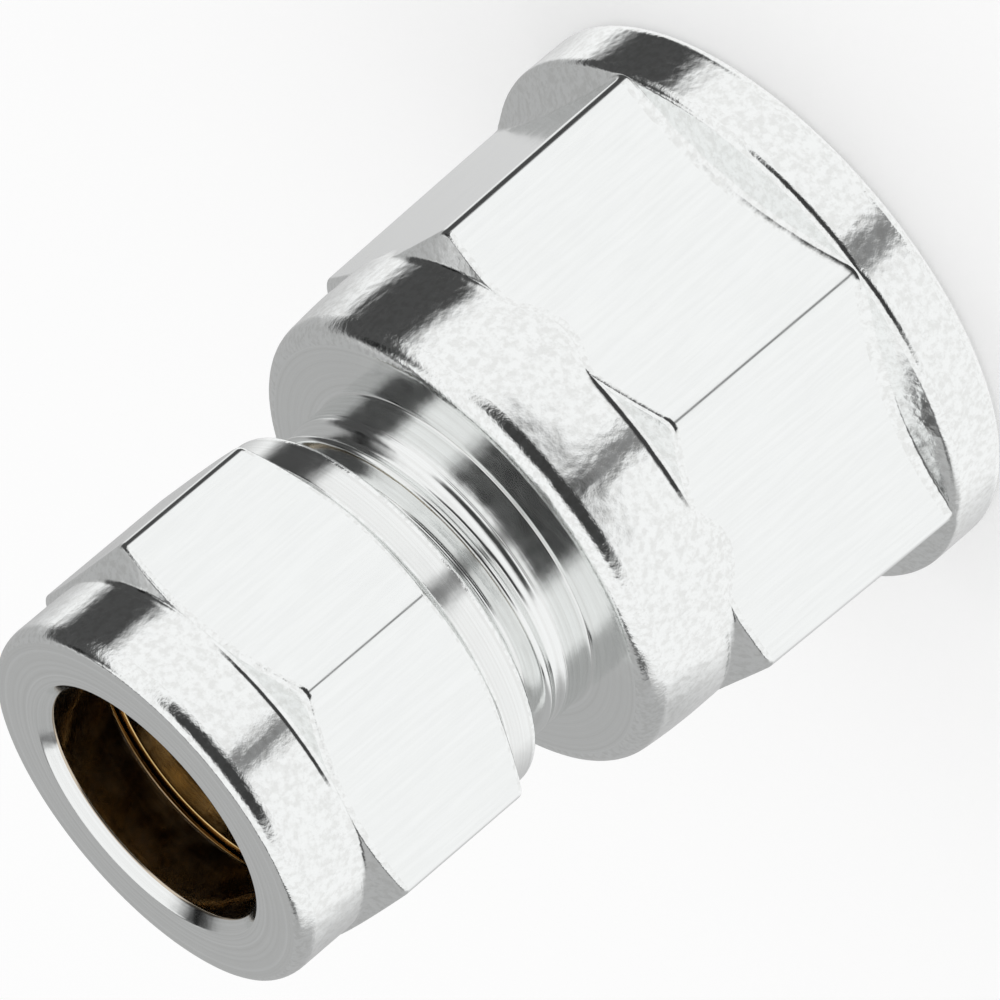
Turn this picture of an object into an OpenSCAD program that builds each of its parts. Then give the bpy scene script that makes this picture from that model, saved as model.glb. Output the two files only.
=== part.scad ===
// Straight compression fitting: a body with a female threaded end on a round rim and a threaded
// neck for a plain tube, closed by a hexagonal nut over a loose sealing ring.
// The fitting stands on the face of its female end, with its axis along +Z and the nut on top.
// All lengths are in millimetres and all angles in degrees.

/* [Tube] */
// outside diameter of the tube that the fitting takes
tube_d = 15; // [14.6:0.1:15.6]

/* [Body rim] */
// distance by which the round rim stands out past the corners of the hexagon
rim_lip = 0.2; // [0.1:0.01:2]
// height of the straight part of the rim
rim_height = 3.9; // [2:0.1:6]
// height of the sloped step between the rim and the hexagon
rim_step = 1.1; // [0.6:0.1:2]
// rounding of the outer edge at the end face
rim_round = 0.8; // [0.3:0.1:1.5]

/* [Body hexagon] */
// wall between the female bore and the flats where they meet the rim; the hexagon is 30 across
// its flats near there and narrows towards the neck
body_side_wall = 3.04; // [2.5:0.02:3.5]
// height of the flats, from the rim step to the round shoulder
body_flat_height = 13.75; // [11:0.05:20]
// draft of the forged flats, from the axis
body_draft = 1.4; // [0.4:0.1:2]
// length taken off the sharp corners of the body hexagon
body_corner_cut = 0.17; // [0.05:0.01:0.4]
// slope of the turned chamfer on the corners of the body hexagon, from the end plane
body_chamfer_angle = 26; // [16:1:35]

/* [Shoulder] */
// height of the round shoulder between the hexagon and the neck
shoulder_height = 6.25; // [5:0.05:10]
// distance by which the round shoulder stands out past the middle of the flats
shoulder_lip = 0.29; // [0.1:0.01:0.5]
// slope of the blend from the flats up to the round shoulder, from the axis
shoulder_blend_angle = 12; // [8:1:30]
// height of the upper part of the shoulder, which narrows towards the neck
shoulder_taper_height = 3.5; // [2:0.1:5]
// slope of that narrowing part, from the axis
shoulder_taper_angle = 5; // [1:0.5:8]
// rounding of the shoulder edge
shoulder_round = 1.2; // [0.4:0.1:1.6]

/* [Neck] */
// outside diameter of the neck thread
neck_thread_d = 20.955; // [20.8:0.005:21.2]
// pitch of the neck thread
neck_thread_pitch = 1.814; // [1.6:0.002:2]
// depth of the neck thread
neck_thread_depth = 1.16; // [0.6:0.02:1.2]
// angle of each flank of the thread, from the plane across the axis
neck_flank_angle = 27.5; // [25:0.5:30]
// height of the neck above the shoulder
neck_height = 13.1; // [12:0.1:16]
// plain length of the neck between the shoulder and the thread
neck_plain = 2.9; // [1.5:0.1:4]
// chamfer at the mouth of the neck
neck_lead = 0.9; // [0.4:0.1:1]

/* [Body bores] */
// diameter of the female thread at its crests
female_bore_d = 24.12; // [23.6:0.01:24.6]
// depth of the female thread
female_depth = 16; // [12:0.1:17]
// chamfer of the lead-in at the female mouth
female_lead = 1.44; // [0.8:0.04:1.8]
// angle of the drilled cone between the female thread and the waterway
drill_point_angle = 120; // [110:1:140]
// diameter of the waterway through the middle of the body
waterway_d = 13; // [10:0.1:14]
// depth of the tube socket below the neck mouth
socket_depth = 13.6; // [10:0.1:15]
// width of the seat outside the edge of the sealing ring that lies on it
seat_margin = 1.05; // [0.6:0.05:1.2]
// slope of both sealing seats, from the axis
seat_angle = 45; // [42:1:48]

/* [Compression nut] */
// wall between the nut's thread and its flats, which are 24 across
nut_side_wall = 1.4725; // [1.2:0.0025:2.2]
// angle of the nut's corners past the body's corners when it is hand tight
nut_roll = 5.4; // [0:0.1:60]
// overall height of the nut
nut_height = 17.9; // [16:0.1:19]
// height of the round collar at the mouth of the nut
nut_collar_height = 4.9; // [2.5:0.1:6]
// height of the round band at the rear of the nut
nut_band_height = 2.2; // [1:0.1:3]
// distance by which the round ends of the nut stand inside the flats
nut_end_inset = 0.25; // [0.05:0.01:0.4]
// rounding of the mouth edge
nut_collar_round = 0.6; // [0.3:0.1:1.2]
// rounding of the rear edge
nut_band_round = 0.4; // [0.2:0.1:0.6]
// length taken off the sharp corners of the nut hexagon
nut_corner_cut = 0.14; // [0.05:0.01:0.4]
// slope of the turned chamfers on the corners of the nut hexagon, from the end plane
nut_chamfer_angle = 26; // [20:1:40]
// chamfer at the mouth of the tube hole
nut_mouth_chamfer = 0.7; // [0.3:0.1:1]
// thickness of the end wall of the nut around the tube hole
nut_wall = 4.5; // [3:0.1:4.6]
// chamfer at the open end of the nut thread
nut_thread_lead = 0.5; // [0.3:0.1:0.6]

/* [Sealing ring] */
// wall of the sealing ring at its middle band
ring_wall = 1.3; // [1:0.05:1.6]
// wall of the sealing ring at both tips
ring_tip_wall = 0.6; // [0.4:0.05:0.8]
// slope of the narrowing tips, from the axis
ring_taper_angle = 18; // [14:1:24]
// height of the straight middle band of the sealing ring
ring_band = 2; // [1:0.1:3]

/* [Fits] */
// radial clearance between the tube and the hole of the nut
nut_tube_clearance = 0.2; // [0.1:0.01:0.4]
// radial clearance between the tube and its socket in the body
socket_tube_clearance = 0.15; // [0.05:0.01:0.3]
// radial clearance between the tube and the sealing ring
ring_tube_clearance = 0.05; // [0.02:0.01:0.15]
// radial clearance between the nut and the neck thread
thread_clearance = 0.05; // [0.02:0.01:0.1]
// gap along the axis between the sealing ring and each of its seats
seat_gap = 0.03; // [0.02:0.01:0.08]

/* [Resolution] */
// segments of the round surfaces
round_segments = 96; // [72:12:120]
// steps of each rounded edge
round_steps = 8; // [4:1:12]

/* [Hidden] */
$fn = round_segments;
// length by which cuts and joined shapes run past each other
overlap = 1;

// body, from the end face of the rim upwards
female_r = female_bore_d / 2;
body_flat_r = female_r + body_side_wall;
body_corner_r = body_flat_r / cos(30) - body_corner_cut;
rim_r = body_corner_r + rim_lip;
rim_top_z = rim_height + rim_step;
body_flat_top_z = rim_top_z + body_flat_height;
body_flat_top_r = body_flat_r - body_flat_height * tan(body_draft);
shoulder_z = body_flat_top_z + shoulder_height;
shoulder_r = body_flat_top_r + shoulder_lip;
shoulder_top_r = shoulder_r - shoulder_taper_height * tan(shoulder_taper_angle);
// radius inside the flats to which the turned shapes of the body run
body_core_r = body_flat_top_r - overlap / 2;
neck_r = neck_thread_d / 2;
neck_top_z = shoulder_z + neck_height;

// thread of the neck: two flanks and two equal flats to each pitch
neck_root_r = neck_r - neck_thread_depth;
thread_flank = neck_thread_depth * tan(neck_flank_angle);
thread_flat = neck_thread_pitch / 2 - thread_flank;
thread_bottom_z = shoulder_z + neck_plain;
thread_top_z = neck_top_z - neck_lead;
thread_turns = floor((thread_top_z - thread_bottom_z) / neck_thread_pitch);

// tube and what it passes through
tube_r = tube_d / 2;
socket_r = tube_r + socket_tube_clearance;
ring_bore_r = tube_r + ring_tube_clearance;
nut_bore_r = tube_r + nut_tube_clearance;

// sealing ring across its wall
ring_r = ring_bore_r + ring_wall;
ring_tip_r = ring_bore_r + ring_tip_wall;
ring_taper_h = (ring_r - ring_tip_r) / tan(ring_taper_angle);

// bores of the body
waterway_r = waterway_d / 2;
waterway_bottom_z = female_depth + (female_r - waterway_r) / tan(drill_point_angle / 2);
socket_floor_z = neck_top_z - socket_depth;
seat_r = ring_tip_r + seat_margin;
seat_bottom_z = neck_top_z - (seat_r - socket_r) / tan(seat_angle);

// sealing ring along the axis: the outer edge of its lower tip lies on the seat of the body
ring_bottom_z = neck_top_z - seat_margin / tan(seat_angle) + seat_gap;
ring_top_z = ring_bottom_z + ring_band + 2 * ring_taper_h;

// nut: its inner cone lies on the outer edge of the ring's upper tip
nut_thread_r = neck_r + thread_clearance;
nut_flat_r = nut_thread_r + nut_side_wall;
nut_end_r = nut_flat_r - nut_end_inset;
nut_cone_top_z = ring_top_z + (ring_tip_r - nut_bore_r) / tan(seat_angle) + seat_gap;
nut_cone_bottom_z = nut_cone_top_z - (nut_thread_r - nut_bore_r) / tan(seat_angle);
nut_top_z = nut_cone_top_z + nut_wall;
nut_bottom_z = nut_top_z - nut_height;

// points of a rounded edge, from the flat end at height z out to the round side;
// side is 1 where the solid lies above the end and -1 where it lies below
function rounded_edge(r, z, edge_r, side) =
    [for (step = [0:round_steps])
        let (a = 90 * step / round_steps)
        [r - edge_r * (1 - sin(a)), z + side * edge_r * (1 - cos(a))]];

function reversed(points) = [for (i = [len(points) - 1:-1:0]) points[i]];

// height of a turned corner chamfer of the given slope, from inner_r to where it reaches radius r
function chamfer_height(r, inner_r, angle) = (r - inner_r) * tan(angle);

// hexagonal bar from z0 to z1, flat_r from the axis to its flats, with its sharp corners turned off
module hex_bar(flat_r, corner_cut, z0, z1) {
    corner_r = flat_r / cos(30);
    intersection() {
        translate([0, 0, z0])
            cylinder(r = corner_r, h = z1 - z0, $fn = 6);
        translate([0, 0, z0 - overlap])
            cylinder(r = corner_r - corner_cut, h = z1 - z0 + 2 * overlap);
    }
}

// rim, sloped step, core, blend and narrowing shoulder of the body as one turned shape
module body_turned() {
    step_slope = rim_step / (rim_r - body_flat_r);
    edge_r = shoulder_top_r + shoulder_round * tan(shoulder_taper_angle);
    rotate_extrude()
        polygon(concat(
            [[0, 0]],
            rounded_edge(rim_r, 0, rim_round, 1),
            [[rim_r, rim_height],
             [body_core_r, rim_height + (rim_r - body_core_r) * step_slope],
             [body_core_r, body_flat_top_z - (shoulder_r - body_core_r) / tan(shoulder_blend_angle)],
             [shoulder_r, body_flat_top_z],
             [shoulder_r, shoulder_z - shoulder_taper_height]],
            reversed(rounded_edge(edge_r, shoulder_z, shoulder_round, -1)),
            [[0, shoulder_z]]));
}

// hexagon of the body, from inside the rim to its chamfered corners below the shoulder: a turned
// cone that rounds the corners, cut by six flats that lean inwards by the draft
module body_hexagon() {
    low_z = rim_height - overlap;
    high_z = body_flat_top_z + overlap;
    corner_slope = tan(body_draft) / cos(30);
    cut_h = high_z - low_z + 4 * overlap;
    cut_w = body_flat_r * 1.4;
    top_corner_r = body_corner_r - (body_flat_top_z - rim_top_z) * corner_slope;
    drop = chamfer_height(top_corner_r, shoulder_r, body_chamfer_angle);
    chamfer_corner_r = top_corner_r + drop * corner_slope;
    difference() {
        rotate_extrude()
            polygon([
                [0, low_z],
                [body_corner_r + (rim_top_z - low_z) * corner_slope, low_z],
                [chamfer_corner_r,
                 body_flat_top_z - chamfer_height(chamfer_corner_r, shoulder_r, body_chamfer_angle)],
                [shoulder_r, body_flat_top_z],
                [shoulder_r - overlap, high_z],
                [0, high_z]]);
        for (side = [0:5])
            rotate([0, 0, 60 * side + 30])
                translate([body_flat_r, 0, rim_top_z])
                    rotate([0, -body_draft, 0])
                        translate([0, -cut_w / 2, low_z - rim_top_z - 2 * overlap])
                            cube([body_corner_r - body_core_r, cut_w, cut_h]);
    }
}

// neck with a plain root and its thread as rings of the true pitch and depth
module body_neck() {
    rotate_extrude()
        polygon(concat(
            [[0, shoulder_z - overlap],
             [neck_r, shoulder_z - overlap]],
            [for (turn = [0:thread_turns - 1])
                let (z = thread_bottom_z + turn * neck_thread_pitch)
                each [
                    [neck_r, z],
                    [neck_root_r, z + thread_flank],
                    [neck_root_r, z + thread_flank + thread_flat],
                    [neck_r, z + 2 * thread_flank + thread_flat]]],
            [[neck_r, thread_top_z],
             [neck_r - neck_lead, neck_top_z],
             [0, neck_top_z]]));
}

// female bore, waterway, tube socket and seat for the sealing ring as one turned cut
module body_bores() {
    rotate_extrude()
        polygon([
            [0, -overlap],
            [female_r + female_lead + overlap, -overlap],
            [female_r, female_lead],
            [female_r, female_depth],
            [waterway_r, waterway_bottom_z],
            [waterway_r, socket_floor_z],
            [socket_r, socket_floor_z],
            [socket_r, seat_bottom_z],
            [seat_r + overlap * tan(seat_angle), neck_top_z + overlap],
            [0, neck_top_z + overlap]]);
}

module body() {
    color([0.80, 0.81, 0.82])
        difference() {
            union() {
                body_turned();
                body_hexagon();
                body_neck();
            }
            body_bores();
        }
}

// round collar, core and rear band of the nut as one turned shape
module nut_turned() {
    rotate_extrude()
        polygon(concat(
            [[0, nut_bottom_z]],
            rounded_edge(nut_end_r, nut_bottom_z, nut_band_round, 1),
            reversed(rounded_edge(nut_end_r, nut_top_z, nut_collar_round, -1)),
            [[0, nut_top_z]]));
}

// hexagon of the nut, with its corners chamfered at both ends
module nut_hexagon() {
    low_z = nut_bottom_z + nut_band_height;
    high_z = nut_top_z - nut_collar_height;
    outer_r = nut_flat_r / cos(30) + overlap;
    rise = chamfer_height(outer_r, nut_end_r, nut_chamfer_angle);
    intersection() {
        hex_bar(nut_flat_r, nut_corner_cut, low_z, high_z);
        rotate_extrude()
            polygon([
                [0, low_z - overlap],
                [nut_end_r - overlap, low_z - overlap],
                [nut_end_r, low_z],
                [outer_r, low_z + rise],
                [outer_r, high_z - rise],
                [nut_end_r, high_z],
                [nut_end_r - overlap, high_z + overlap],
                [0, high_z + overlap]]);
    }
}

// tube hole, inner cone and thread bore of the nut as one turned cut
module nut_bores() {
    rotate_extrude()
        polygon([
            [0, nut_bottom_z - overlap],
            [nut_thread_r + nut_thread_lead + overlap, nut_bottom_z - overlap],
            [nut_thread_r, nut_bottom_z + nut_thread_lead],
            [nut_thread_r, nut_cone_bottom_z],
            [nut_bore_r, nut_cone_top_z],
            [nut_bore_r, nut_top_z - nut_mouth_chamfer],
            [nut_bore_r + nut_mouth_chamfer + overlap, nut_top_z + overlap],
            [0, nut_top_z + overlap]]);
}

module compression_nut() {
    color([0.84, 0.85, 0.86])
        rotate([0, 0, nut_roll])
            difference() {
                union() {
                    nut_turned();
                    nut_hexagon();
                }
                nut_bores();
            }
}

// sealing ring with a straight band and two narrowing tips
module olive() {
    color([0.78, 0.60, 0.33])
        rotate_extrude()
            polygon([
                [ring_bore_r, ring_bottom_z],
                [ring_tip_r, ring_bottom_z],
                [ring_r, ring_bottom_z + ring_taper_h],
                [ring_r, ring_top_z - ring_taper_h],
                [ring_tip_r, ring_top_z],
                [ring_bore_r, ring_top_z]]);
}

body();
compression_nut();
olive();
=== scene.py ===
"""Looks of a straight compression fitting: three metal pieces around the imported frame.

Each piece is one closed mesh, built from a section that changes with the angle round the axis,
so that the hexagons, their chamfers and all rounded edges are real geometry, and both threads are
true helices. Lengths in the section tables are millimetres, as in the part's source.
"""

import math

import bpy
import numpy as np
from mathutils import Matrix, Vector


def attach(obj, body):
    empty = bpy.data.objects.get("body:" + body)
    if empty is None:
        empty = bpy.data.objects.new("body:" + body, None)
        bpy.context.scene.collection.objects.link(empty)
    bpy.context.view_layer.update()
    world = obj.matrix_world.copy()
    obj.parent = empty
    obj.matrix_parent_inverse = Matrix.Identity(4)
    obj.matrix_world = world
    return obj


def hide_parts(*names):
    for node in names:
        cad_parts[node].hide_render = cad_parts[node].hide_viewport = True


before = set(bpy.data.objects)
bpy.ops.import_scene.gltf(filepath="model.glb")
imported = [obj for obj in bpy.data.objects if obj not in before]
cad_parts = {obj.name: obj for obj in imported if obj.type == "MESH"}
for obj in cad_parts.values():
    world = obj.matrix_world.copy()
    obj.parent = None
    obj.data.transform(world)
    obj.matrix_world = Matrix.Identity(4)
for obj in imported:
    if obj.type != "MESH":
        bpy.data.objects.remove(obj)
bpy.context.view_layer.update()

MM = 0.001
TAU = 2 * math.pi

# body, as in the part's source
RIM_R, RIM_TOP, STEP_TOP = 17.466, 3.9, 5.0
BODY_FLAT_R, BODY_CORNER_R = 15.1, 1.1
BODY_DRAFT = math.tan(math.radians(1.4))
STEP_SLOPE = (STEP_TOP - RIM_TOP) / (RIM_R - BODY_FLAT_R)
BODY_SLOPE = math.tan(math.radians(26))
SHOULDER_R, FLAT_TOP, SHOULDER_Z = 15.054, 18.75, 25.0
SHOULDER_BLEND = math.tan(math.radians(12))
SHOULDER_TAPER_H, SHOULDER_TAPER = 3.5, math.tan(math.radians(5))
NECK_R, NECK_TOP, NECK_LEAD = 10.4775, 38.1, 0.9
THREAD_LOW = 27.9
SEAT_R, SOCKET_R, SOCKET_FLOOR = 9.2, 7.65, 24.5
WATERWAY_R, WATERWAY_LOW = 6.5, 19.21
FEMALE_R, FEMALE_DEPTH, FEMALE_LEAD = 12.06, 16.0, 1.44
# nut, as in the part's source
NUT_FLAT_R, NUT_CORNER_R, NUT_ROLL = 12.0, 0.9, 5.4
NUT_END_R, NUT_LOW, NUT_TOP = 11.75, 30.469, 48.369
NUT_BAND, NUT_COLLAR = 2.2, 4.9
NUT_SLOPE = math.tan(math.radians(26))
NUT_BORE_R, NUT_MOUTH, NUT_CONE_TOP = 7.7, 0.7, 43.869
NUT_THREAD_R, NUT_THREAD_LEAD = 10.5275, 0.5
# sealing ring, as in the part's source
RING_BORE_R, RING_R, RING_TIP_R = 7.55, 8.85, 8.15
RING_LOW, RING_TOP, RING_TAPER = 37.08, 43.389, 2.154
# both threads: pitch, depth and the radius of their rounded crests and roots
PITCH, THREAD_DEPTH, THREAD_ROUND = 1.814, 1.162, 0.249
FLANK = math.radians(27.5)


# section and mesh


def hexagon(angles, flat_r, corner_r, roll):
    """Distance from the axis to a hexagon with rounded corners, at each angle in degrees."""
    off = np.radians((angles - roll + 30) % 60 - 30)
    sixth = math.radians(30)
    rounded_until = sixth - np.arctan((1 - corner_r / flat_r) * math.tan(sixth))
    centre = (flat_r - corner_r) / math.cos(sixth)
    inside = np.maximum(corner_r**2 - (centre * np.sin(off)) ** 2, 0)
    rounded = centre * np.cos(off) + np.sqrt(inside)
    flat = flat_r / np.cos(sixth - np.abs(off))
    return np.where(np.abs(off) < rounded_until, rounded, flat)


def hexagon_angles(flat_r, corner_r, roll):
    """Angles of the columns, close together round each rounded corner."""
    tangent = 30 - math.degrees(math.atan((1 - corner_r / flat_r) * math.tan(math.radians(30))))
    half = list(np.linspace(0, tangent, 5)) + [tangent + 0.2] + list(np.linspace(tangent + 1, 30, 12))
    sector = [-a for a in half[-2:0:-1]] + half
    return np.array([60 * k + roll + a for k in range(6) for a in sector])


def thread_drop(u):
    """Depth below the crest at a distance u along the axis from the middle of the crest."""
    u = np.abs(u)
    near = THREAD_ROUND * math.cos(FLANK)
    step = THREAD_ROUND * (1 - math.sin(FLANK))
    far = PITCH / 2 - near
    crest = THREAD_ROUND - np.sqrt(np.maximum(THREAD_ROUND**2 - u**2, 0))
    flank = step + (u - near) / math.tan(FLANK)
    root = THREAD_DEPTH - THREAD_ROUND + np.sqrt(np.maximum(THREAD_ROUND**2 - (PITCH / 2 - u) ** 2, 0))
    return np.where(u < near, crest, np.where(u < far, flank, root))


def helix(z, angles, phase):
    """Distance along the axis from the nearest crest of a right-hand thread."""
    turn = z / PITCH - angles / 360 - phase
    return (turn - np.round(turn)) * PITCH


def fade(z, low, high):
    t = np.clip((z - low) / (high - low), 0, 1)
    return t * t * (3 - 2 * t)


def section_rows(keys, columns):
    """Rows of a closed section. Each key is (r, z, before, after, steps, rows, zone): a corner of
    the section, the lengths that its rounding takes off both sides, the steps of the rounding,
    and the inner rows and zone of the side that follows. r and z may vary with the column.
    Returns the rows as (columns, 2) arrays and the zone of each band between two rows."""
    n = len(keys)
    at = [np.stack([np.broadcast_to(np.asarray(k[i], float), columns.shape) for i in (0, 1)], 1)
          for k in keys]
    side = [at[(i + 1) % n] - at[i] for i in range(n)]
    length = [np.maximum(np.linalg.norm(s, axis=1), 1e-6) for s in side]
    unit = [s / l[:, None] for s, l in zip(side, length)]
    before = [np.full(columns.shape, float(k[2])) for k in keys]
    after = [np.full(columns.shape, float(k[3])) for k in keys]
    for i in range(n):
        j = (i + 1) % n
        scale = np.minimum(1, 0.88 * length[i] / np.maximum(after[i] + before[j], 1e-9))
        after[i], before[j] = after[i] * scale, before[j] * scale
    rows, zones = [], []
    for i, key in enumerate(keys):
        steps, inner, zone, rounding_zone = key[4], key[5], key[6], key[7] if len(key) > 7 else key[6]
        prior = unit[i - 1]
        start = at[i] - before[i][:, None] * prior
        end = at[i] + after[i][:, None] * unit[i]
        weight = np.sqrt(np.clip((1 + (prior * unit[i]).sum(1)) / 2, 0.02, 1))[:, None]
        for s in range(steps + 1):
            t = s / steps
            a, b, c = (1 - t) ** 2, 2 * t * (1 - t) * weight, t * t
            rows.append((a * start + b * at[i] + c * end) / (a + b + c))
            zones.append(rounding_zone if s < steps else zone)
        j = (i + 1) % n
        far = at[j] - before[j][:, None] * unit[i]
        span = np.linalg.norm(far - end, axis=1)[:, None]
        guard = np.minimum(0.07, 0.2 * span) / np.maximum(span, 1e-9)
        for f in np.linspace(0, 1, inner + 2):
            rows.append(end + (far - end) * (guard + f * (1 - 2 * guard)))
            zones.append(zone)
    return rows, zones


def ring_mesh(name, rows, zones, angles, materials):
    """A closed mesh with one loop of vertices for each row, and quads between them."""
    grid = np.array(rows)
    row_count, column_count = grid.shape[:2]
    a = np.radians(angles)
    co = np.stack([grid[..., 0] * np.cos(a), grid[..., 0] * np.sin(a), grid[..., 1]], 2) * MM
    i = np.arange(row_count)[:, None]
    j = np.arange(column_count)[None, :]
    i2, j2 = (i + 1) % row_count, (j + 1) % column_count
    corner = [i * column_count + j, i * column_count + j2, i2 * column_count + j2, i2 * column_count + j]
    quads = np.stack([np.broadcast_to(c, (row_count, column_count)) for c in corner], 2).reshape(-1, 4)
    mesh = bpy.data.meshes.new(name)
    mesh.vertices.add(co.size // 3)
    mesh.vertices.foreach_set("co", co.reshape(-1))
    mesh.loops.add(quads.size)
    mesh.loops.foreach_set("vertex_index", quads.reshape(-1))
    mesh.polygons.add(len(quads))
    mesh.polygons.foreach_set("loop_start", np.arange(len(quads)) * 4)
    for m in materials:
        mesh.materials.append(m)
    index = np.repeat([materials.index(z) for z in zones], column_count)
    mesh.polygons.foreach_set("material_index", index.astype(np.int32))
    mesh.polygons.foreach_set("use_smooth", np.ones(len(quads), bool))
    mesh.update(calc_edges=True)
    mesh.validate()
    obj = bpy.data.objects.new(name, mesh)
    bpy.context.scene.collection.objects.link(obj)
    return obj


# materials


class Nodes:
    """Short calls that add and join nodes of one tree."""

    def __init__(self, tree):
        self.tree = tree
        tree.nodes.clear()

    def add(self, kind, inputs=None, **settings):
        node = self.tree.nodes.new(kind)
        for k, v in settings.items():
            setattr(node, k, v)
        for k, v in (inputs or {}).items():
            if isinstance(v, bpy.types.NodeSocket):
                self.tree.links.new(v, node.inputs[k])
            else:
                node.inputs[k].default_value = v
        return node

    def math(self, operation, a, b=0.0, c=0.0, clamp=False):
        return self.add("ShaderNodeMath", {0: a, 1: b, 2: c}, operation=operation, use_clamp=clamp).outputs[0]

    def ramp(self, value, low, high, out_low=0.0, out_high=1.0):
        return self.add("ShaderNodeMapRange", {0: value, 1: low, 2: high, 3: out_low, 4: out_high},
                        interpolation_type="SMOOTHSTEP").outputs[0]

    def noise(self, vector, scale, detail=2.0, rough=0.5):
        return self.add("ShaderNodeTexNoise", {"Vector": vector, "Scale": scale, "Detail": detail,
                                               "Roughness": rough}).outputs[0]

    def mix(self, factor, a, b):
        node = self.add("ShaderNodeMix", {0: factor}, data_type="RGBA")
        for k, v in ((6, a), (7, b)):
            if isinstance(v, bpy.types.NodeSocket):
                self.tree.links.new(v, node.inputs[k])
            else:
                node.inputs[k].default_value = (*v, 1)
        return node.outputs[2]

    def bump(self, height, distance_mm, normal=None):
        inputs = {"Height": height, "Distance": distance_mm * MM, "Strength": 1.0}
        if normal is not None:
            inputs["Normal"] = normal
        return self.add("ShaderNodeBump", inputs).outputs[0]


def metal(name):
    material = bpy.data.materials.new(name)
    material.use_nodes = True
    n = Nodes(material.node_tree)
    out = n.add("ShaderNodeOutputMaterial")
    shader = n.add("ShaderNodeBsdfPrincipled", {"Metallic": 1.0, "Specular IOR Level": 0.5})
    n.tree.links.new(shader.outputs[0], out.inputs[0])
    place = n.add("ShaderNodeTexCoord").outputs["Object"]
    size = n.add("ShaderNodeVectorMath", {0: place, 1: (1 / MM,) * 3}, operation="MULTIPLY").outputs[0]
    return material, n, shader, size


def finish(n, shader, color, rough, normal):
    for socket, value in (("Base Color", color), ("Roughness", rough), ("Normal", normal)):
        n.tree.links.new(value, shader.inputs[socket])


CHROME = (0.90, 0.915, 0.91)
CHROME_DULL = (0.80, 0.81, 0.80)


def plated_forged(name, peel, strength):
    """Plating over a forged skin: an uneven orange-peel surface with small pits."""
    material, n, shader, size = metal(name)
    coarse = n.noise(size, 0.55, 2)
    fine = n.noise(size, 1 / peel, 3, 0.6)
    normal = n.bump(coarse, 0.05)
    normal = n.bump(fine, strength, normal)
    color = n.mix(n.ramp(fine, 0.35, 0.6), CHROME_DULL, CHROME)
    rough = n.ramp(n.noise(size, 1.7, 2), 0.3, 0.7, 0.06, 0.14)
    finish(n, shader, color, rough, normal)
    return material


def plated_flat(name):
    """Plating over milled flats: faint lines along the axis and long shallow waves."""
    material, n, shader, size = metal(name)
    along = n.add("ShaderNodeVectorMath", {0: size, 1: (1, 1, 0.06)}, operation="MULTIPLY").outputs[0]
    lines = n.noise(along, 3.2, 3, 0.6)
    waves = n.noise(size, 0.22, 1)
    normal = n.bump(waves, 0.03)
    normal = n.bump(lines, 0.0016, normal)
    color = n.mix(n.ramp(lines, 0.3, 0.7), (0.87, 0.885, 0.88), CHROME)
    rough = n.ramp(n.noise(size, 0.9, 2), 0.3, 0.7, 0.09, 0.16)
    finish(n, shader, color, rough, normal)
    return material


def plated_turned(name, color_low=CHROME_DULL, color_high=CHROME):
    """Plating over a turned face: fine rings round the axis."""
    material, n, shader, size = metal(name)
    split = n.add("ShaderNodeSeparateXYZ", {0: size}).outputs
    radius = n.math("SQRT", n.math("ADD", n.math("MULTIPLY", split[0], split[0]),
                                   n.math("MULTIPLY", split[1], split[1])))
    across = n.add("ShaderNodeCombineXYZ", {0: radius, 1: 0.0, 2: split[2]}).outputs[0]
    rings = n.noise(across, 5.0, 3, 0.6)
    spots = n.noise(size, 0.8, 2)
    normal = n.bump(spots, 0.012)
    normal = n.bump(rings, 0.002, normal)
    color = n.mix(n.ramp(rings, 0.3, 0.7), color_low, color_high)
    rough = n.ramp(spots, 0.3, 0.7, 0.10, 0.18)
    finish(n, shader, color, rough, normal)
    return material


FORGED = plated_forged("plated_forged", 0.45, 0.010)
EDGE = plated_forged("plated_edge", 0.33, 0.020)
FLAT = plated_flat("plated_flat")
TURNED = plated_turned("plated_turned")
INNER = plated_turned("bored_metal", (0.42, 0.36, 0.28), (0.60, 0.52, 0.42))
BRASS = plated_turned("brass", (0.62, 0.42, 0.18), (0.80, 0.58, 0.28))


# body

angles = hexagon_angles(BODY_FLAT_R, BODY_CORNER_R, 0)
step_z, crescent_z = STEP_TOP, FLAT_TOP
for _ in range(4):
    step_r = hexagon(angles, BODY_FLAT_R - (step_z - STEP_TOP) * BODY_DRAFT, BODY_CORNER_R, 0)
    step_z = RIM_TOP + (RIM_R - step_r) * STEP_SLOPE
    crescent_r = hexagon(angles, BODY_FLAT_R - (crescent_z - STEP_TOP) * BODY_DRAFT, BODY_CORNER_R, 0)
    past = crescent_r - SHOULDER_R
    crescent_z = FLAT_TOP - np.where(past > 0, past * BODY_SLOPE, -past / SHOULDER_BLEND)
shoulder_top_r = SHOULDER_R - SHOULDER_TAPER_H * SHOULDER_TAPER
thread_rows = round((NECK_TOP - NECK_LEAD - THREAD_LOW + 1) / PITCH * 20)
female_rows = round((FEMALE_DEPTH - FEMALE_LEAD) / PITCH * 16)
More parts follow.
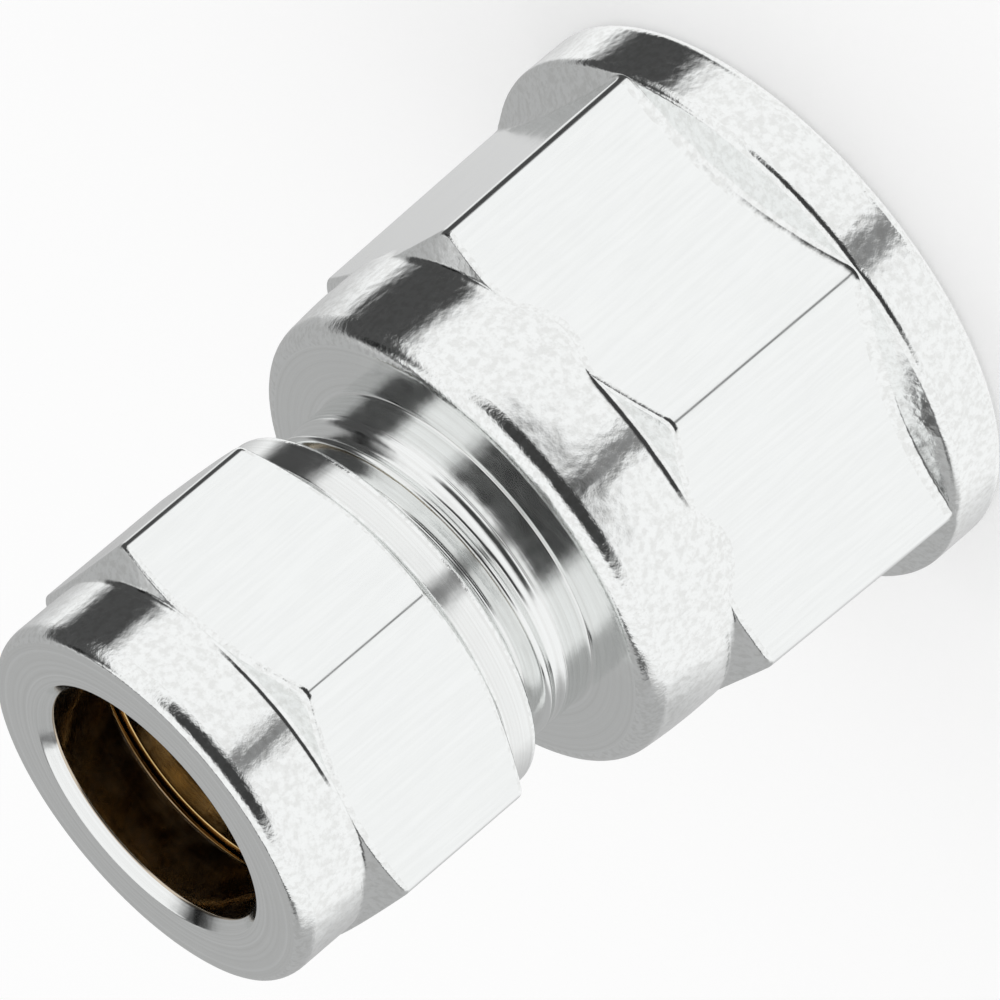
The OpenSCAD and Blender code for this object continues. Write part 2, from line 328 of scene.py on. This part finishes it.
body_keys = [
    (FEMALE_R + FEMALE_LEAD, 0, 0.06, 0.06, 2, 4, TURNED),
    (RIM_R, 0, 0.8, 0.8, 7, 3, FORGED, EDGE),
    (RIM_R, RIM_TOP, 0.35, 0.3, 5, 4, FORGED, EDGE),
    (step_r, step_z, 0.35, 0.45, 5, 8, FLAT, FORGED),
    (crescent_r, crescent_z, 0.25, 0.22, 5, 3, FORGED, EDGE),
    (SHOULDER_R, FLAT_TOP, 0.25, 0.35, 5, 4, FORGED, FORGED),
    (SHOULDER_R, SHOULDER_Z - SHOULDER_TAPER_H, 1.4, 1.2, 5, 4, FORGED, FORGED),
    (shoulder_top_r, SHOULDER_Z, 1.25, 1.0, 9, 6, TURNED, EDGE),
    (NECK_R, SHOULDER_Z, 0.15, 0.15, 4, 4, TURNED),
    (NECK_R, THREAD_LOW - 1, 0, 0, 1, thread_rows, TURNED),
    (NECK_R, NECK_TOP - NECK_LEAD, 0, 0, 1, 12, TURNED),
    (NECK_R - NECK_LEAD, NECK_TOP, 0, 0, 1, 1, TURNED),
    (SEAT_R, NECK_TOP, 0.04, 0.04, 2, 3, TURNED),
    (SOCKET_R, NECK_TOP - (SEAT_R - SOCKET_R), 0.05, 0.05, 2, 10, INNER),
    (SOCKET_R, SOCKET_FLOOR, 0.1, 0.1, 2, 1, INNER),
    (WATERWAY_R, SOCKET_FLOOR, 0.1, 0.1, 2, 4, INNER),
    (WATERWAY_R, WATERWAY_LOW, 0.1, 0.1, 2, 4, INNER),
    (FEMALE_R, FEMALE_DEPTH, 0, 0, 1, female_rows, INNER),
    (FEMALE_R, FEMALE_LEAD, 0, 0, 1, 14, INNER),
]
rows, zones = section_rows(body_keys, angles)
for row in rows:
    r, z = row[:, 0], row[:, 1]
    if z.min() > THREAD_LOW - 1 and r.min() > SEAT_R:
        depth = thread_drop(helix(z, angles, 0.0)) * fade(z, THREAD_LOW - 0.9, THREAD_LOW + 0.9)
        row[:, 0] = np.minimum(r, NECK_R - depth)
    elif z.max() < FEMALE_DEPTH + 0.01 and r.max() < FEMALE_R + FEMALE_LEAD - 0.01:
        depth = THREAD_DEPTH - thread_drop(helix(z, angles, 0.5))
        depth = (THREAD_DEPTH - depth) * (1 - fade(z, FEMALE_DEPTH - 2.4, FEMALE_DEPTH - 0.6))
        row[:, 0] = np.maximum(r, FEMALE_R + depth)
body = ring_mesh("fitting_body", rows, zones, angles, [FORGED, EDGE, FLAT, TURNED, INNER])
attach(body, "fitting_body")
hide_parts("body")

# nut

angles = hexagon_angles(NUT_FLAT_R, NUT_CORNER_R, NUT_ROLL)
hex_r = hexagon(angles, NUT_FLAT_R, NUT_CORNER_R, NUT_ROLL)
rise = (hex_r - NUT_END_R) * NUT_SLOPE
cone_low = NUT_CONE_TOP - (NUT_THREAD_R - NUT_BORE_R)
nut_rows = round((cone_low - NUT_LOW - NUT_THREAD_LEAD) / PITCH * 16)
nut_keys = [
    (NUT_THREAD_R + NUT_THREAD_LEAD, NUT_LOW, 0.04, 0.04, 2, 1, TURNED),
    (NUT_END_R, NUT_LOW, 0.25, 0.4, 6, 2, TURNED, EDGE),
    (NUT_END_R, NUT_LOW + NUT_BAND, 0.2, 0.25, 5, 3, FORGED),
    (hex_r, NUT_LOW + NUT_BAND + rise, 0.25, 0.25, 5, 8, FLAT, EDGE),
    (hex_r, NUT_TOP - NUT_COLLAR - rise, 0.25, 0.25, 5, 3, FORGED, EDGE),
    (NUT_END_R, NUT_TOP - NUT_COLLAR, 0.25, 0.25, 5, 6, FORGED),
    (NUT_END_R, NUT_TOP, 1.1, 0.55, 9, 6, TURNED, EDGE),
    (NUT_BORE_R + NUT_MOUTH, NUT_TOP, 0.08, 0.08, 3, 2, TURNED),
    (NUT_BORE_R, NUT_TOP - NUT_MOUTH, 0.1, 0.1, 3, 6, INNER),
    (NUT_BORE_R, NUT_CONE_TOP, 0.1, 0.1, 2, 5, INNER),
    (NUT_THREAD_R, cone_low, 0, 0, 1, nut_rows, INNER),
    (NUT_THREAD_R, NUT_LOW + NUT_THREAD_LEAD, 0, 0, 1, 4, INNER),
]
rows, zones = section_rows(nut_keys, angles)
for row in rows:
    r, z = row[:, 0], row[:, 1]
    if z.max() < cone_low + 0.01 and r.max() < NUT_THREAD_R + NUT_THREAD_LEAD - 0.01:
        depth = thread_drop(helix(z, angles, 0.0)) * (1 - fade(z, cone_low - 2.6, cone_low - 1.0))
        row[:, 0] = r - np.maximum(depth - 0.14, 0) * 0.9
nut = ring_mesh("compression_nut_shell", rows, zones, angles, [FORGED, EDGE, FLAT, TURNED, INNER])
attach(nut, "nut")
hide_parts("compression_nut")

# sealing ring

angles = np.arange(0, 360, 2.5)
ring_keys = [
    (RING_BORE_R, RING_LOW, 0.05, 0.05, 3, 1, BRASS),
    (RING_TIP_R, RING_LOW, 0.12, 0.12, 4, 3, BRASS),
    (RING_R, RING_LOW + RING_TAPER, 0.4, 0.4, 5, 3, BRASS),
    (RING_R, RING_TOP - RING_TAPER, 0.4, 0.4, 5, 3, BRASS),
    (RING_TIP_R, RING_TOP, 0.12, 0.12, 4, 1, BRASS),
    (RING_BORE_R, RING_TOP, 0.08, 0.08, 4, 5, BRASS),
]
rows, zones = section_rows(ring_keys, angles)
ring = ring_mesh("sealing_ring_brass", rows, zones, angles, [BRASS])
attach(ring, "sealing_ring")
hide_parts("olive")


# camera, at the photo's viewing angle

CAMERA_AT = (-220.604, -554.918, 278.697)
CAMERA_RIGHT = (-0.71189632, -0.04202732, -0.70102592)
CAMERA_DOWN = (-0.61457803, 0.52033421, 0.59291329)
CAMERA_AHEAD = (0.33984921, 0.85292791, -0.39625307)
LENS_MM, SENSOR_MM = 432, 36
camera_data = bpy.data.cameras.new("camera")
camera_data.lens = LENS_MM
camera_data.sensor_width = SENSOR_MM
camera_data.clip_start, camera_data.clip_end = 0.01, 20
camera = bpy.data.objects.new("camera", camera_data)
axes = [Vector(CAMERA_RIGHT), -Vector(CAMERA_DOWN), -Vector(CAMERA_AHEAD)]
turned = Matrix(axes).transposed().to_4x4()
camera.matrix_world = Matrix.Translation(Vector(CAMERA_AT) * MM) @ turned
bpy.context.scene.collection.objects.link(camera)
bpy.context.scene.camera = camera

# floor, and a white studio that only reflections see, with its dark and grey parts

FLOOR_HALF, FLOOR_WHITE, FLOOR_LIFT = 1.5, 0.8, 0.22

mesh = bpy.data.meshes.new("floor")
corners = [(x * FLOOR_HALF, y * FLOOR_HALF, 0) for x, y in ((-1, -1), (1, -1), (1, 1), (-1, 1))]
mesh.from_pydata(corners, [], [(0, 1, 2, 3)])
floor = bpy.data.objects.new("floor", mesh)
bpy.context.scene.collection.objects.link(floor)
floor.visible_glossy = False
material = bpy.data.materials.new("floor")
material.use_nodes = True
n = Nodes(material.node_tree)
out = n.add("ShaderNodeOutputMaterial")
seen = n.add("ShaderNodeLightPath").outputs["Is Camera Ray"]
paint = n.add("ShaderNodeBsdfDiffuse", {"Color": (FLOOR_WHITE,) * 3 + (1,)})
lift = n.add("ShaderNodeEmission", {"Strength": n.math("MULTIPLY", seen, FLOOR_LIFT)})
both = n.add("ShaderNodeAddShader", {0: paint.outputs[0], 1: lift.outputs[0]})
n.tree.links.new(both.outputs[0], out.inputs[0])
mesh.materials.append(material)

world = bpy.data.worlds.new("studio")
bpy.context.scene.world = world
world.use_nodes = True
n = Nodes(world.node_tree)
out = n.add("ShaderNodeOutputWorld")
path = n.add("ShaderNodeLightPath").outputs
direction = n.add("ShaderNodeTexCoord").outputs["Generated"]


def toward(azimuth, elevation):
    a, e = math.radians(azimuth), math.radians(elevation)
    return Vector((math.cos(e) * math.cos(a), math.cos(e) * math.sin(a), math.sin(e)))


def card(azimuth, elevation, half_wide, half_high, soft):
    """1 inside a rectangular card seen from the object in that direction, sizes in degrees."""
    middle = toward(azimuth, elevation)
    across = toward(azimuth + 90, 0)
    up = across.cross(middle) * -1
    dots = [n.add("ShaderNodeVectorMath", {0: direction, 1: v}, operation="DOT_PRODUCT").outputs[1]
            for v in (across, up, middle)]
    inside = n.math("GREATER_THAN", dots[2], 0.0)
    for dot, half in ((dots[0], half_wide), (dots[1], half_high)):
        angle = n.math("ARCTAN2", n.math("ABSOLUTE", dot), n.math("MAXIMUM", dots[2], 0.001))
        low, high = math.radians(max(half - soft, 0.1)), math.radians(half + soft)
        inside = n.math("MULTIPLY", inside, n.ramp(angle, low, high, 1.0, 0.0))
    return inside


# parts of the studio that aren't white: direction, half width and height, softness, how dark
CARDS = [
    # backdrop behind the fitting, grey
    (75, 15, 62, 42, 10, 0.55),
    # dark room on the camera's side
    (242, 14, 42, 26, 8, 0.95),
    # its lower middle
    (236, -30, 6, 24, 4, 0.75),
    # open side of the tent
    (352, 0, 22, 46, 7, 0.93),
    # gap between the overhead light and the backdrop
    (66, 62, 60, 6, 3, 0.85),
]
level = 1.0
for azimuth, elevation, wide, high, soft, dark in CARDS:
    shade = n.math("MULTIPLY", dark, card(azimuth, elevation, wide, high, soft))
    level = n.math("MULTIPLY", level, n.math("SUBTRACT", 1.0, shade))
seen = n.math("MAXIMUM", path["Is Camera Ray"], path["Is Transmission Ray"])
plain = n.math("SUBTRACT", 1.0, n.math("MAXIMUM", seen, path["Is Glossy Ray"]))
studio = n.math("MULTIPLY", level, path["Is Glossy Ray"])
strength = n.math("ADD", n.math("ADD", seen, studio), n.math("MULTIPLY", plain, 0.95))
background = n.add("ShaderNodeBackground", {"Color": (1, 1, 1, 1), "Strength": strength})
n.tree.links.new(background.outputs[0], out.inputs[0])

bpy.context.scene.view_settings.view_transform = "Standard"
